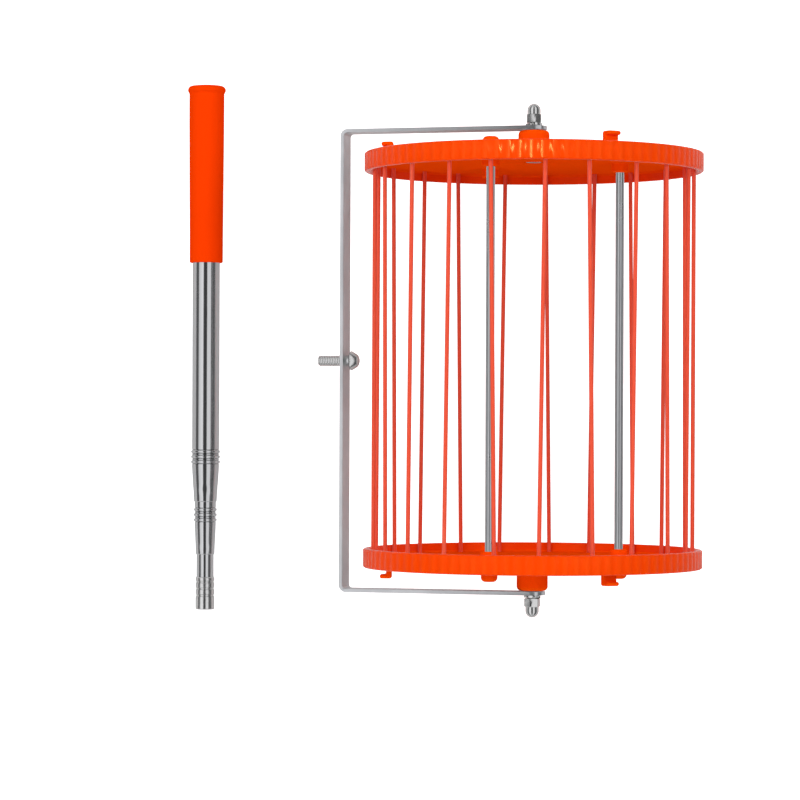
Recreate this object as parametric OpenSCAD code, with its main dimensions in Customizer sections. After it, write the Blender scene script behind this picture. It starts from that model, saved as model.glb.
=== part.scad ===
// Rolling fruit picker: a drum of elastic cord on two moulded wheels, carried
// by a U-shaped steel bracket, with a loose telescopic pole that screws onto
// the bracket's stud. The drum lies on its rims as it rolls, its axis along Y,
// and the pole lies beside it. Origin: floor level, middle of the whole set.

/* [Drum] */
// Radius of a wheel over its rim
rim_r = 120; // [110:1:130]
// Distance between the outer faces of the two wheels
drum_w = 293.5; // [280:0.5:310]
// Width of a wheel's rim along the axis
rim_w = 13.5; // [12:0.5:16]
// Thickness of a wheel's disc
disc_t = 3; // [2.5:0.5:4]
// How far the disc's outer face lies below the rim's edge
disc_recess = 3.7; // [3.5:0.1:5]
// Thickness of the rim's wall
rim_wall = 4; // [3:0.5:5]
// Radius of the hub boss
hub_r = 11; // [10:0.5:13]
// Number of runs of cord between the wheels
cord_runs = 21; // [15:2:27]
// Thickness of the elastic cord
cord_d = 3; // [2:0.5:4]
// Radius of the ring of cord holes
cord_ring_r = 113; // [112.5:0.5:113.5]
// How far each hole sits from the even spacing, in degrees
cord_lean = 0.9; // [0:0.02:1]
// How far the ring of cord holes is turned from the tie tubes, in degrees
cord_turn = 2; // [0:0.5:4]
// Diameter of a tie tube
tube_d = 6; // [5:0.5:8]
// Distance of the tie tubes from the axis
tube_ring_r = 61; // [50:1:75]
// Angle at which the drum has come to rest, in degrees
drum_turn = 1.6; // [0:0.2:17]

/* [Bracket] */
// Width of the flat bar
bar_w = 18.5; // [16:0.5:20]
// Thickness of the flat bar
bar_t = 2.5; // [2:0.5:3]
// Distance of the bar's outer face from the axis
bar_reach = 140; // [134:1:150]
// Direction in which the bracket points, seen along the axis
bar_turn = 195; // [190:1:200]
// Length of stud left outside the bar
stud_out = 18; // [14:1:22]

/* [Pole] */
// Length of the pole pushed together
pole_l = 389; // [380:1:400]
// Travel of each telescopic section
pole_travel = 235; // [200:5:235]
// Diameter of the outer tube
outer_d = 20; // [19.5:0.1:20.5]
// Diameter of the middle tube
middle_d = 15.6; // [15.4:0.1:15.8]
// Diameter of the inner tube
inner_d = 12.6; // [12.4:0.1:12.8]
// Length of the hand grip
grip_l = 132; // [110:1:145]
// Gap between the drum's axis and the pole's
pole_gap = 238.3; // [200:1:260]

/* [Hidden] */
$fn = 96;

// Clearances: a part that turns or slides, and a loose fit inside one body
run_fit = 0.05;
loose_fit = 0.02;

// Where the pole lies relative to the drum, and the origin between them
flange_d = 28;
pole_top_y = 205.5;
pole_bottom_y = pole_top_y - pole_l;
axis_x = (pole_gap + flange_d / 2 - rim_r) / 2;
axis_y = -(pole_top_y + pole_bottom_y) / 2;

// Stations along the axis, counted outwards from the middle of the drum
face_z = drum_w / 2;
open_z = face_z - rim_w;
disc_out_z = face_z - disc_recess;
inside_z = disc_out_z - disc_t;
hub_out_z = face_z + 16.25;
hub_in_z = inside_z + 6.15;
arm_in_z = hub_out_z + 0.5;
arm_out_z = arm_in_z + bar_t;

// Axle hardware: M6, with a 10 mm hexagon
bolt_r = 3;
hex_r = 5.77;
bolt_head_t = 4;
sleeve_r = 5;
flat_washer_t = 1.2;
flat_washer_r = 6.2;
spring_washer_t = 2.3;
spring_washer_r = 5.9;
cap_nut_h = 13.7;
sleeve_in_z = hub_in_z - 0.85;
washer_in_z = sleeve_in_z - flat_washer_t;
nut_z = arm_out_z + spring_washer_t;
bolt_end_z = nut_z + 8.5;

// Details of a wheel
nub_d = 11.5;
nub_h = 7.5;
socket_depth = 16;
hook_w = 11;
hook_h = 8;
hook_t = 4;
hook_tip = 4.5;
hook_ring_r = 99.5;
head_seat_r = 7.5;
knot_ring_r = 111.5;
knot_d = 6.8;
knot_h = 3.5;
rib_ring_r = 106;
spoke_count = 6;
cord_hole_r = 2.25;

// The pole's stud: M8, with a domed head that stands off the bar by its travel,
// a full-size shank through the bar and a thinner plain cylinder outside it, at the thread's mean radius
stud_r = 4;
thread_r = 3.6;
stud_travel = 3;
head_d = 14;
head_h = 6.6;

// Stations along the pole, counted from the top of the grip
grip_floor_s = 4;
outer_end_s = 309;
middle_end_s = 348;
neck_l = 19;
bush_l = 15;
stop_gap = 1;
middle_start_s = outer_end_s - neck_l - pole_travel - bush_l - stop_gap;
inner_start_s = middle_end_s - neck_l - pole_travel - bush_l - stop_gap;
inner_end_s = 371;
socket_s = 365;
socket_d = 14;
socket_core_r = 3.4;
socket_mouth_l = 16;
outer_wall = 0.8;
inner_wall = 0.8;

// Turns a shape drawn along +z so that it lies along the drum's axis.
// Outwards on the right wheel is -Y, and side = -1 mirrors it to the left one.
module on_axis(side) {
    translate([axis_x, axis_y, rim_r])
        rotate([90, 0, 0])
            mirror([0, 0, side < 0 ? 1 : 0])
                children();
}

// The same for a part of the drum, which is turned about that axis
module on_drum(side) {
    on_axis(side) rotate(drum_turn) children();
}

// Turns a shape drawn along +x so that it points where the bracket does
module on_bracket() {
    on_axis(1) rotate(bar_turn) children();
}

// Lays a shape drawn along +z on the floor as the pole, grip end at +Y
module on_pole() {
    translate([axis_x - pole_gap, axis_y + pole_top_y, flange_d / 2])
        rotate([90, 0, 0])
            children();
}

// Hollow round bar between two stations
module tube(outer_r, inner_r, from_z, to_z) {
    translate([0, 0, from_z])
        difference() {
            cylinder(r = outer_r, h = to_z - from_z);
            translate([0, 0, -1])
                cylinder(r = inner_r, h = to_z - from_z + 2);
        }
}

// Angle of a cord hole: the two wheels' holes lean opposite ways in turn, so
// that the lacing makes narrow and wide gaps
function lean_sign(k) = (k + cord_runs - 8) % cord_runs % 2 == 0 ? 1 : -1;
function hole_angle(k, side) =
    k * 360 / cord_runs + cord_turn + side * lean_sign(k) * cord_lean;
function hole_at(k, side, z) = [
    cord_ring_r * cos(hole_angle(k, side)), cord_ring_r * sin(hole_angle(k, side)), z];

// A straight round bar from one point to another
module bar_between(a, b, d) {
    v = b - a;
    translate(a)
        rotate([0, acos(v[2] / norm(v)), atan2(v[1], v[0])])
            cylinder(d = d, h = norm(v), $fn = 24);
}

// Hook on a wheel's outer face, its tip pointing away from the axis
module cord_hook() {
    translate([hook_ring_r, -hook_w / 2, disc_out_z - 1])
        cube([hook_t, hook_w, hook_h + disc_recess + 1]);
    translate([hook_ring_r, -hook_w / 2, face_z + hook_h - 3])
        cube([hook_t + hook_tip, hook_w, 3]);
}

// One moulded wheel: a dished disc with rim, hub, tube sockets and hooks
module wheel(side) {
    color("orangered")
    on_drum(side)
    difference() {
        union() {
            tube(rim_r, rim_r - rim_wall, open_z, face_z);
            translate([0, 0, inside_z])
                cylinder(r = rim_r - rim_wall / 2, h = disc_t);
            tube(rib_ring_r + 1.25, rib_ring_r - 1.25, disc_out_z - 1, face_z - 0.6);
            // Hub boss with a rounded outer end
            translate([0, 0, inside_z])
                cylinder(r = hub_r, h = hub_out_z - inside_z - 3);
            translate([0, 0, hub_out_z - 3])
                cylinder(r1 = hub_r, r2 = hub_r - 2.5, h = 3);
            // Spokes in the recess of the outer face, between hub and ring
            for (k = [0 : spoke_count - 1])
                rotate(30 + k * 360 / spoke_count)
                    translate([hub_r - 1, -1.25, disc_out_z - 1])
                        cube([rib_ring_r - hub_r, 2.5, disc_recess + 0.4]);
            // Tube sockets: a boss inside and a domed nub outside
            for (k = [0 : 2])
                rotate(k * 120)
                    translate([tube_ring_r, 0, 0]) {
                        translate([0, 0, open_z])
                            cylinder(r = 6, h = rim_w);
                        translate([0, 0, face_z - 1])
                            cylinder(d = nub_d, h = nub_h - 1.5);
                        translate([0, 0, face_z + nub_h - 2.5])
                            cylinder(d1 = nub_d, d2 = nub_d - 5, h = 2.5);
                    }
            for (k = [0 : 2])
                rotate(60 + k * 120)
                    cord_hook();
        }
        // Hub bore with the sunk seat of the bolt's head, blind tube holes and the ring of cord holes
        translate([0, 0, hub_in_z - 1])
            cylinder(r = sleeve_r + run_fit, h = hub_out_z - hub_in_z + 2);
        translate([0, 0, inside_z - 1])
            cylinder(r = head_seat_r, h = hub_in_z - inside_z + 1);
        for (k = [0 : 2])
            rotate(k * 120)
                translate([tube_ring_r, 0, open_z - 1])
                    cylinder(r = tube_d / 2 + loose_fit, h = socket_depth + 1);
        for (k = [0 : cord_runs - 1])
            translate(hole_at(k, side, inside_z - 1))
                cylinder(r = cord_hole_r, h = disc_t + 2);
    }
}

module left_wheel() { wheel(-1); }
module right_wheel() { wheel(1); }

// Steel tube that holds the two wheels apart against the pull of the cord
module tie_tube(k) {
    tube_end_z = open_z + socket_depth - 0.5;
    color("silver")
        on_drum(1)
            rotate(k * 120)
                translate([tube_ring_r, 0, 0])
                    tube(tube_d / 2, tube_d / 2 - 1, -tube_end_z, tube_end_z);
}

// The cord's straight runs, from one wheel's outer face to the other's
module cord_strands() {
    color("salmon")
        on_drum(1)
            for (k = [0 : cord_runs - 1])
                bar_between(hole_at(k, -1, -disc_out_z), hole_at(k, 1, disc_out_z), cord_d);
}

// The cord's short loops, lying on the wheels' outer faces between two holes
module cord_loops() {
    z = disc_out_z + cord_d / 2 + run_fit;
    color("salmon")
        on_drum(1)
            for (pair = [0 : (cord_runs - 1) / 2 - 1]) {
                left_k = (2 * pair + 1 + 8) % cord_runs;
                right_k = (2 * pair + 8) % cord_runs;
                bar_between(hole_at(left_k, -1, -z), hole_at((left_k + 1) % cord_runs, -1, -z), cord_d);
                bar_between(hole_at(right_k, 1, z), hole_at((right_k + 1) % cord_runs, 1, z), cord_d);
            }
}

// The two end knots, one on each wheel's disc, pulled down into the recess
module cord_knots() {
    z = disc_out_z + run_fit;
    color("salmon")
        on_drum(1) {
            rotate(hole_angle(8, -1))
                translate([knot_ring_r, 0, -z - knot_h])
                    cylinder(d = knot_d, h = knot_h);
            rotate(hole_angle(7, 1))
                translate([knot_ring_r, 0, z])
                    cylinder(d = knot_d, h = knot_h);
        }
}

// Flat section of the bent bar, drawn in the plane of its bend
module bent_bar_section(reach, half_w, bend_r) {
    translate([-bar_w, -half_w])
        square([reach + bar_w - bend_r, 2 * half_w]);
    translate([-bar_w, bend_r - half_w])
        square([reach + bar_w, 2 * (half_w - bend_r)]);
    for (end = [-1, 1])
        translate([reach - bend_r, end * (half_w - bend_r)])
            circle(r = bend_r);
}

// U-shaped flat bar: two rounded arms on the axle and an upright with a hole
module bracket_bar() {
    bend_r = 5;
    color("lightgray")
    on_bracket()
    difference() {
        intersection() {
            rotate([90, 0, 0])
                translate([0, 0, -bar_w / 2])
                    linear_extrude(height = bar_w)
                        difference() {
                            bent_bar_section(bar_reach, arm_out_z, bend_r);
                            bent_bar_section(bar_reach - bar_t, arm_in_z, bend_r - bar_t);
                            // The arms' inner faces run past the open ends
                            translate([-2 * bar_w, -arm_in_z])
                                square([2 * bar_w, 2 * arm_in_z]);
                        }
            union() {
                translate([0, 0, -arm_out_z - 1])
                    cylinder(d = bar_w, h = 2 * arm_out_z + 2);
                translate([0, -bar_w / 2, -arm_out_z - 1])
                    cube([bar_reach + 1, bar_w, 2 * arm_out_z + 2]);
            }
        }
        translate([0, 0, -arm_out_z - 1])
            cylinder(r = bolt_r + loose_fit, h = 2 * arm_out_z + 2);
        translate([bar_reach - bar_t - 1, 0, 0])
            rotate([0, 90, 0])
                cylinder(r = stud_r + run_fit, h = bar_t + 2);
    }
}

// M6 bolt on which a wheel turns, its head inside the drum
module axle_bolt(side) {
    color("silver")
        on_axis(side) {
            translate([0, 0, washer_in_z - bolt_head_t])
                cylinder(r = hex_r, h = bolt_head_t, $fn = 6);
            translate([0, 0, washer_in_z])
                cylinder(r = bolt_r, h = bolt_end_z - washer_in_z);
        }
}

// Steel sleeve clamped on the bolt, a little longer than the hub that turns on it
module axle_sleeve(side) {
    color("silver")
        on_axis(side)
            tube(sleeve_r, bolt_r + loose_fit, sleeve_in_z, arm_in_z);
}

// Washer between the bolt's head and the sleeve, which keeps the hub on
module flat_washer(side) {
    color("silver")
        on_axis(side)
            tube(flat_washer_r, bolt_r + loose_fit, washer_in_z, sleeve_in_z);
}

// Split spring washer under the cap nut
module spring_washer(side) {
    color("gainsboro")
        on_axis(side)
            difference() {
                tube(spring_washer_r, bolt_r + loose_fit, arm_out_z, nut_z);
                rotate(20)
                    translate([0, -0.6, arm_out_z - 1])
                        cube([spring_washer_r + 1, 1.2, spring_washer_t + 2]);
            }
}

// Domed cap nut that closes the end of the bolt
module cap_nut(side) {
    hex_h = 6.2;
    dome_r = 4.7;
    color("gainsboro")
        on_axis(side)
            difference() {
                union() {
                    translate([0, 0, nut_z])
                        cylinder(r = hex_r, h = hex_h, $fn = 6);
                    translate([0, 0, nut_z + hex_h])
                        cylinder(r = dome_r, h = cap_nut_h - hex_h - dome_r);
                    translate([0, 0, nut_z + cap_nut_h - dome_r])
                        sphere(r = dome_r);
                }
                translate([0, 0, nut_z - 1])
                    cylinder(r = bolt_r + loose_fit, h = bolt_end_z - nut_z + 1.5);
            }
}

module left_axle_bolt() { axle_bolt(-1); }
module right_axle_bolt() { axle_bolt(1); }
module left_axle_sleeve() { axle_sleeve(-1); }
module right_axle_sleeve() { axle_sleeve(1); }
module left_flat_washer() { flat_washer(-1); }
module right_flat_washer() { flat_washer(1); }
module left_spring_washer() { spring_washer(-1); }
module right_spring_washer() { spring_washer(1); }
module left_cap_nut() { cap_nut(-1); }
module right_cap_nut() { cap_nut(1); }

// M8 stud for the pole, with a domed head that pulls up against the bar
module pole_stud() {
    head_x = bar_reach - bar_t - stud_travel;
    color("silver")
        on_bracket()
            rotate([0, 90, 0]) {
                translate([0, 0, head_x])
                    cylinder(r = stud_r, h = bar_reach - head_x);
                translate([0, 0, bar_reach])
                    cylinder(r = thread_r, h = stud_out);
                translate([0, 0, head_x])
                    mirror([0, 0, 1])
                        intersection() {
                            cylinder(d = head_d, h = head_h);
                            translate([0, 0, head_h - 8])
                                sphere(r = 8);
                        }
            }
}

// Soft hand grip, closed and flanged at its top end
module pole_grip() {
    color("orangered")
        on_pole()
            difference() {
                union() {
                    cylinder(d1 = flange_d - 4, d2 = flange_d, h = 1.5);
                    translate([0, 0, 1.5])
                        cylinder(d = flange_d, h = 3.5);
                    translate([0, 0, 5])
                        cylinder(d1 = flange_d, d2 = 26, h = 2.5);
                    translate([0, 0, 7.5])
                        cylinder(d1 = 26, d2 = 24.5, h = grip_l - 7.5);
                }
                translate([0, 0, grip_floor_s])
                    cylinder(r = outer_d / 2 + loose_fit, h = grip_l);
            }
}

// A drawn tube whose end is swaged down to guide the next, thinner tube
module swaged_tube(d, wall, next_d, from_s, end_s) {
    neck_in_r = next_d / 2 + run_fit;
    neck_out_r = neck_in_r + wall;
    cone_l = 4;
    cone_s = end_s - neck_l;
    difference() {
        union() {
            translate([0, 0, from_s])
                cylinder(d = d, h = cone_s - from_s);
            translate([0, 0, cone_s])
                cylinder(r1 = d / 2, r2 = neck_out_r, h = cone_l);
            translate([0, 0, cone_s + cone_l])
                cylinder(r = neck_out_r, h = neck_l - cone_l);
        }
        translate([0, 0, from_s - 1])
            cylinder(d = d - 2 * wall, h = cone_s - from_s + 1);
        translate([0, 0, cone_s])
            cylinder(r1 = d / 2 - wall, r2 = neck_in_r, h = cone_l);
        translate([0, 0, cone_s + cone_l - 1])
            cylinder(r = neck_in_r, h = neck_l);
    }
}

// Outer tube of the pole, inside the grip at its top end
module outer_tube() {
    color("silver")
        on_pole()
            swaged_tube(outer_d, outer_wall, middle_d, grip_floor_s, outer_end_s);
}

// Middle tube of the pole
module middle_tube() {
    color("silver")
        on_pole()
            swaged_tube(middle_d, inner_wall, inner_d, middle_start_s, middle_end_s);
}

// Inner tube of the pole
module inner_tube() {
    color("silver")
        on_pole()
            tube(inner_d / 2, inner_d / 2 - inner_wall, inner_start_s, inner_end_s);
}

// Sliding bush on the hidden end of a tube: it centres it and stops it at the neck
module slide_bush(tube_r, bore_r, from_s) {
    color("whitesmoke")
        on_pole()
            tube(bore_r - run_fit, tube_r + loose_fit, from_s, from_s + bush_l);
}

module middle_bush() { slide_bush(middle_d / 2, outer_d / 2 - outer_wall, middle_start_s); }
module inner_bush() { slide_bush(inner_d / 2, middle_d / 2 - inner_wall, inner_start_s); }

// Turned end piece pressed on the inner tube, tapped to take the stud
module pole_socket() {
    color("gainsboro")
        on_pole()
            difference() {
                translate([0, 0, socket_s])
                    cylinder(d = socket_d, h = pole_l - socket_s);
                translate([0, 0, socket_s - 1])
                    cylinder(r = inner_d / 2 + loose_fit, h = inner_end_s - socket_s + 1);
                translate([0, 0, pole_l - socket_mouth_l])
                    cylinder(r = socket_core_r, h = socket_mouth_l + 1);
            }
}

left_wheel();
right_wheel();
tie_tube(0);  // tie_tube_1
tie_tube(1);  // tie_tube_2
tie_tube(2);  // tie_tube_3
cord_strands();
cord_loops();
cord_knots();
bracket_bar();
left_axle_bolt();
right_axle_bolt();
left_axle_sleeve();
right_axle_sleeve();
left_flat_washer();
right_flat_washer();
left_spring_washer();
right_spring_washer();
left_cap_nut();
right_cap_nut();
pole_stud();
pole_grip();
outer_tube();
middle_tube();
middle_bush();
inner_tube();
inner_bush();
pole_socket();
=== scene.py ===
# %% [markdown]
# # A rolling fruit picker
# This notebook gives a rolling fruit picker its looks. The tool is a drum of elastic cord laced between
# two moulded wheels, a bent steel bracket that carries the drum, and a telescopic pole lying beside it.
# The CAD model already holds every size and joint, so it is loaded first and all that follows is measured
# from it. Pieces with a simple true shape are copied and only have their edges eased. Pieces that need
# ribs, bends, threads, beads or a real lacing are modelled again, in the same place.

# %% Load the CAD model
import math

import bpy
from mathutils import Matrix, Vector


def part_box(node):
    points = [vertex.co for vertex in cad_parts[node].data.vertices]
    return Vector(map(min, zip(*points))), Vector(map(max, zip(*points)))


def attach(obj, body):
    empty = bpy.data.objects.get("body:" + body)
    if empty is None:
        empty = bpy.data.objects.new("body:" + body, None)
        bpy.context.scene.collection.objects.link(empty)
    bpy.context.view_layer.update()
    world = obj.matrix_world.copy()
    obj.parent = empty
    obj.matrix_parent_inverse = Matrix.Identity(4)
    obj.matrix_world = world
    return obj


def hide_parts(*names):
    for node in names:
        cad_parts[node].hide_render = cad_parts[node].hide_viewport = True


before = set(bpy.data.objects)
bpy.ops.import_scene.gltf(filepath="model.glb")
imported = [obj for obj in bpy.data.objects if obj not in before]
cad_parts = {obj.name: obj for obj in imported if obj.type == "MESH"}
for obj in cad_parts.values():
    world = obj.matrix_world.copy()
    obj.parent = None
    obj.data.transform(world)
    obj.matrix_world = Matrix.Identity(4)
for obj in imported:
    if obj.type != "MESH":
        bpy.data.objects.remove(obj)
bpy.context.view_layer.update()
MM = 0.001
FULL_TURN = 2 * math.pi
print("CAD nodes:", len(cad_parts))

# %% [markdown]
# The drum's axle gives the main datum. Its sleeve is centred on the axis, and the cord's runs end on the
# discs' outer faces, set back in the rims, so two of the CAD boxes place everything on the drum. The
# pole's grip does the same for the pole. Everything on the drum is drawn with its axis along Z, in
# millimetres from the middle, and a matrix then lays it down, because a turned shape is easiest to draw
# standing up.

# %% Measure the datums
def middle(node):
    low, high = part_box(node)
    return (low + high) / 2


def size(node):
    low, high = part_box(node)
    return high - low


drum_centre = Vector((middle("left_axle_sleeve").x, middle("cord_strands").y, middle("left_axle_sleeve").z))
DISC_RECESS = 3.7
disc_out = size("cord_strands").y / MM / 2
face_z = disc_out + DISC_RECESS
rim_r = round(size("left_wheel").z / MM / 2, 1)
drum_turn = math.radians(1.6)
bracket_turn = math.radians(195)
lay_down = Matrix.Translation(drum_centre) @ Matrix.Rotation(math.pi / 2, 4, "X")
grip_low, grip_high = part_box("pole_grip")
pole_start = Vector(((grip_low.x + grip_high.x) / 2, grip_high.y, (grip_low.z + grip_high.z) / 2))
lay_pole = Matrix.Translation(pole_start) @ Matrix.Rotation(math.pi / 2, 4, "X")
print("half width over the faces", round(face_z, 2), "rim radius", rim_r)

# %% [markdown]
# The camera looks straight down on the set from a little over two metres with a long lens, so that the
# wheels look almost, but not quite, edge on. A long lens far away keeps the two wheels nearly the same
# size. The small shift slides the frame without tilting the camera.

# %% Camera
CAMERA_HEIGHT = 2.25
CAMERA_ASIDE = -0.0941
CAMERA_BELOW = -0.0419

camera_data = bpy.data.cameras.new("camera")
camera_data.sensor_width = 36
camera_data.lens = 142.9
camera_data.shift_y = 0.024
camera_data.clip_start = 0.05
camera = bpy.data.objects.new("camera", camera_data)
camera.location = drum_centre + Vector((CAMERA_ASIDE, CAMERA_BELOW, CAMERA_HEIGHT))
camera.rotation_euler = (0, 0, math.radians(0.23))
bpy.context.scene.collection.objects.link(camera)
bpy.context.scene.camera = camera

# %% [markdown]
# The floor is a plain, nearly white sheet, larger than any view needs. It glows where the camera sees it
# directly, which keeps the shadows as faint as on a lit studio table. In reflections it doesn't glow, so
# that polished metal over it still shows some depth.

# %% Floor
bpy.ops.object.select_all(action="DESELECT")
bpy.ops.mesh.primitive_plane_add(size=12, location=(0, 0, -0.0002))
floor = bpy.context.object
floor.name = "floor"
floor_paint = bpy.data.materials.new("floor_paint")
floor_paint.use_nodes = True
floor_tree = floor_paint.node_tree
floor_shader = floor_tree.nodes["Principled BSDF"]
floor_shader.inputs["Base Color"].default_value = (0.62, 0.62, 0.62, 1)
floor_shader.inputs["Roughness"].default_value = 0.9
floor_shader.inputs["Specular IOR Level"].default_value = 0.1
floor_shader.inputs["Emission Color"].default_value = (1, 1, 1, 1)
floor_path = floor_tree.nodes.new("ShaderNodeLightPath")
floor_glow = floor_tree.nodes.new("ShaderNodeMath")
floor_glow.operation = "MULTIPLY"
floor_glow.inputs[1].default_value = 0.95
floor_tree.links.new(floor_path.outputs["Is Camera Ray"], floor_glow.inputs[0])
floor_tree.links.new(floor_glow.outputs["Value"], floor_shader.inputs["Emission Strength"])
floor.data.materials.append(floor_paint)

# %% [markdown]
# Long soft boxes stand on both sides of the drum and at its ends, and a small one hangs over the left
# wheel, where it puts a highlight on each rib. Area lights are used because they give soft edges and cost
# little. The small one makes gleams and nothing else. The others give light and don't show in
# reflections, because the room settles what metal mirrors.

# %% Lights
def soft_box(name, place, aim, width, length, power, gleam=False):
    data = bpy.data.lights.new(name, "AREA")
    data.shape = "RECTANGLE"
    data.size = width
    data.size_y = length
    data.energy = power
    lamp = bpy.data.objects.new(name, data)
    lamp.location = place
    lamp.visible_glossy = gleam
    lamp.visible_diffuse = not gleam
    lamp.rotation_euler = (Vector(aim) - Vector(place)).to_track_quat("-Z", "Y").to_euler()
    bpy.context.scene.collection.objects.link(lamp)
    return lamp


soft_box("left_box", (-1.2, 0.35, 1.45), (0, 0.1, 0.1), 0.5, 2.4, 11)
soft_box("right_box", (1.25, 0.35, 1.5), (0, 0.1, 0.1), 0.6, 2.4, 10)
soft_box("head_box", (0.1, 1.8, 1.3), (0, 0, 0.1), 2.0, 0.6, 9)
soft_box("foot_box", (0, -1.8, 1.2), (0, 0, 0.1), 2.0, 0.6, 10)
rib_box = soft_box("rib_box", (-0.12, 0.46, 1.9), (-0.12, 0.46, 0), 0.3, 0.45, 55, gleam=True)

studio = bpy.data.worlds.new("studio")
studio.use_nodes = True
bpy.context.scene.world = studio
bpy.context.scene.view_settings.view_transform = "Standard"

# %% [markdown]
# The room around is light low down and has dark and bright strips overhead that run along the drum, as
# between a studio's lamps. Where a ray points, as an angle from straight up, picks the strip. The camera
# itself sees only a pale room, which a Light Path node tells apart.

# %% Room
room = studio.node_tree
room_light = room.nodes["Background"]
room_light.inputs["Strength"].default_value = 1.0
room_place = room.nodes.new("ShaderNodeTexCoord")
room_split = room.nodes.new("ShaderNodeSeparateXYZ")
room_angle = room.nodes.new("ShaderNodeMath")
room_angle.operation = "ARCTAN2"
room_range = room.nodes.new("ShaderNodeMapRange")
room_range.inputs["From Min"].default_value = -math.pi
room_range.inputs["From Max"].default_value = math.pi
room_strips = room.nodes.new("ShaderNodeValToRGB")
strips = [(0, 0.5), (88, 0.6), (96, 0.14), (116, 0.11), (124, 0.85), (158, 1.15), (165, 0.07),
          (190, 0.06), (196, 0.95), (222, 0.95), (230, 0.13), (262, 0.13), (272, 0.5), (360, 0.5)]
ramp = room_strips.color_ramp
for degrees, level in strips[1:-1]:
    stop = ramp.elements.new(degrees / 360)
    stop.color = (level, level, level * 1.02, 1)
ramp.elements[0].color = (0.5, 0.5, 0.51, 1)
ramp.elements[-1].color = (0.5, 0.5, 0.51, 1)
room_seen = room.nodes.new("ShaderNodeBackground")
room_seen.inputs["Color"].default_value = (0.93, 0.93, 0.94, 1)
room_path = room.nodes.new("ShaderNodeLightPath")
room_mix = room.nodes.new("ShaderNodeMixShader")
room.links.new(room_place.outputs["Generated"], room_split.inputs["Vector"])
room.links.new(room_split.outputs["X"], room_angle.inputs[0])
room.links.new(room_split.outputs["Z"], room_angle.inputs[1])
room.links.new(room_angle.outputs["Value"], room_range.inputs["Value"])
room.links.new(room_range.outputs["Result"], room_strips.inputs["Fac"])
room.links.new(room_strips.outputs["Color"], room_light.inputs["Color"])
room.links.new(room_path.outputs["Is Camera Ray"], room_mix.inputs["Fac"])
room.links.new(room_light.outputs["Background"], room_mix.inputs[1])
room.links.new(room_seen.outputs["Background"], room_mix.inputs[2])
room.links.new(room_mix.outputs["Shader"], room.nodes["World Output"].inputs["Surface"])

# %% [markdown]
# ## Tools used on every piece
# Edit mode keeps whatever was selected before, and many operators act on all of it. So each visit starts
# by selecting one object, and inside it nothing.

# %% Going in and out of edit mode
def edit(obj, kind="VERT"):
    bpy.ops.object.select_all(action="DESELECT")
    obj.select_set(True)
    bpy.context.view_layer.objects.active = obj
    bpy.ops.object.mode_set(mode="EDIT")
    bpy.ops.mesh.select_mode(type=kind)
    bpy.ops.mesh.select_all(action="DESELECT")


def leave():
    bpy.ops.object.mode_set(mode="OBJECT")


def pick(obj, kind, test):
    """Opens obj with the vertices or faces selected whose place, in mm, passes the test."""
    edit(obj, kind)
    leave()
    items = obj.data.vertices if kind == "VERT" else obj.data.polygons
    count = 0
    for item in items:
        place = (item.co if kind == "VERT" else item.center) / MM
        item.select = bool(test(place, item))
        count += item.select
    bpy.ops.object.mode_set(mode="EDIT")
    return count


def radius(place):
    return math.hypot(place.x, place.y)


# %% [markdown]
# Most of this tool is turned or moulded round an axis. A lathe shape starts as a tiny plane merged into
# one vertex. The vertex is extruded along half the cross-section, as a modeller would trace it, and the
# spin operator sweeps the line round Z. Rounded corners come from short arcs in the outline, so no bevel
# is needed afterwards. An outline that starts and ends on the axis stays open, and its poles are merged.

# %% Lathe
def arc(centre_r, centre_z, r, start, end, count=4):
    """Points on part of a circle in the outline's plane. Angles are in degrees from outwards to up."""
    angles = [math.radians(start + (end - start) * i / count) for i in range(count + 1)]
    return [(centre_r + r * math.cos(a), centre_z + r * math.sin(a)) for a in angles]


def lathe(name, outline, steps=64):
    bpy.ops.object.select_all(action="DESELECT")
    bpy.ops.mesh.primitive_plane_add(size=MM)
    obj = bpy.context.object
    obj.name = name
    bpy.ops.object.mode_set(mode="EDIT")
    bpy.ops.mesh.select_all(action="SELECT")
    bpy.ops.mesh.merge(type="CENTER")
    points = [Vector((r * MM, 0, z * MM)) for r, z in outline]
    closed = outline[0][0] > 0 or outline[-1][0] > 0
    if closed:
        points.append(points[0])
    bpy.ops.transform.translate(value=points[0])
    for here, there in zip(points, points[1:]):
        bpy.ops.mesh.extrude_vertices_move(TRANSFORM_OT_translate={"value": there - here})
    bpy.ops.mesh.select_all(action="SELECT")
    bpy.ops.mesh.remove_doubles(threshold=0.001 * MM)
    bpy.ops.mesh.spin(steps=steps, angle=FULL_TURN, center=(0, 0, 0), axis=(0, 0, 1))
    bpy.ops.mesh.select_all(action="SELECT")
    bpy.ops.mesh.remove_doubles(threshold=0.001 * MM)
    bpy.ops.mesh.normals_make_consistent(inside=False)
    leave()
    return obj


# %% [markdown]
# Copies get their own mesh, because a finished piece holds its place in its mesh. The same small function
# moves, turns and mirrors: a mirrored mesh is inside out, so its faces are flipped back.

# %% Place, copy and join
def place(obj, matrix):
    obj.data.transform(matrix)
    if matrix.determinant() < 0:
        obj.data.flip_normals()
    obj.data.update()
    return obj


def at(x=0.0, turn=0.0):
    """A matrix that moves outwards by millimetres and then turns about Z, in degrees."""
    return Matrix.Rotation(math.radians(turn), 4, "Z") @ Matrix.Translation(Vector((x, 0, 0)) * MM)


def copy_of(obj, matrix, name=None):
    twin = obj.copy()
    twin.data = obj.data.copy()
    twin.name = name or obj.name
    bpy.context.scene.collection.objects.link(twin)
    return place(twin, matrix)


def around(obj, angles):
    """Copies of obj turned about Z to each angle, joined to it as one object."""
    copies = [copy_of(obj, at(turn=a)) for a in angles[1:]]
    place(obj, at(turn=angles[0]))
    return join([obj] + copies)


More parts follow.
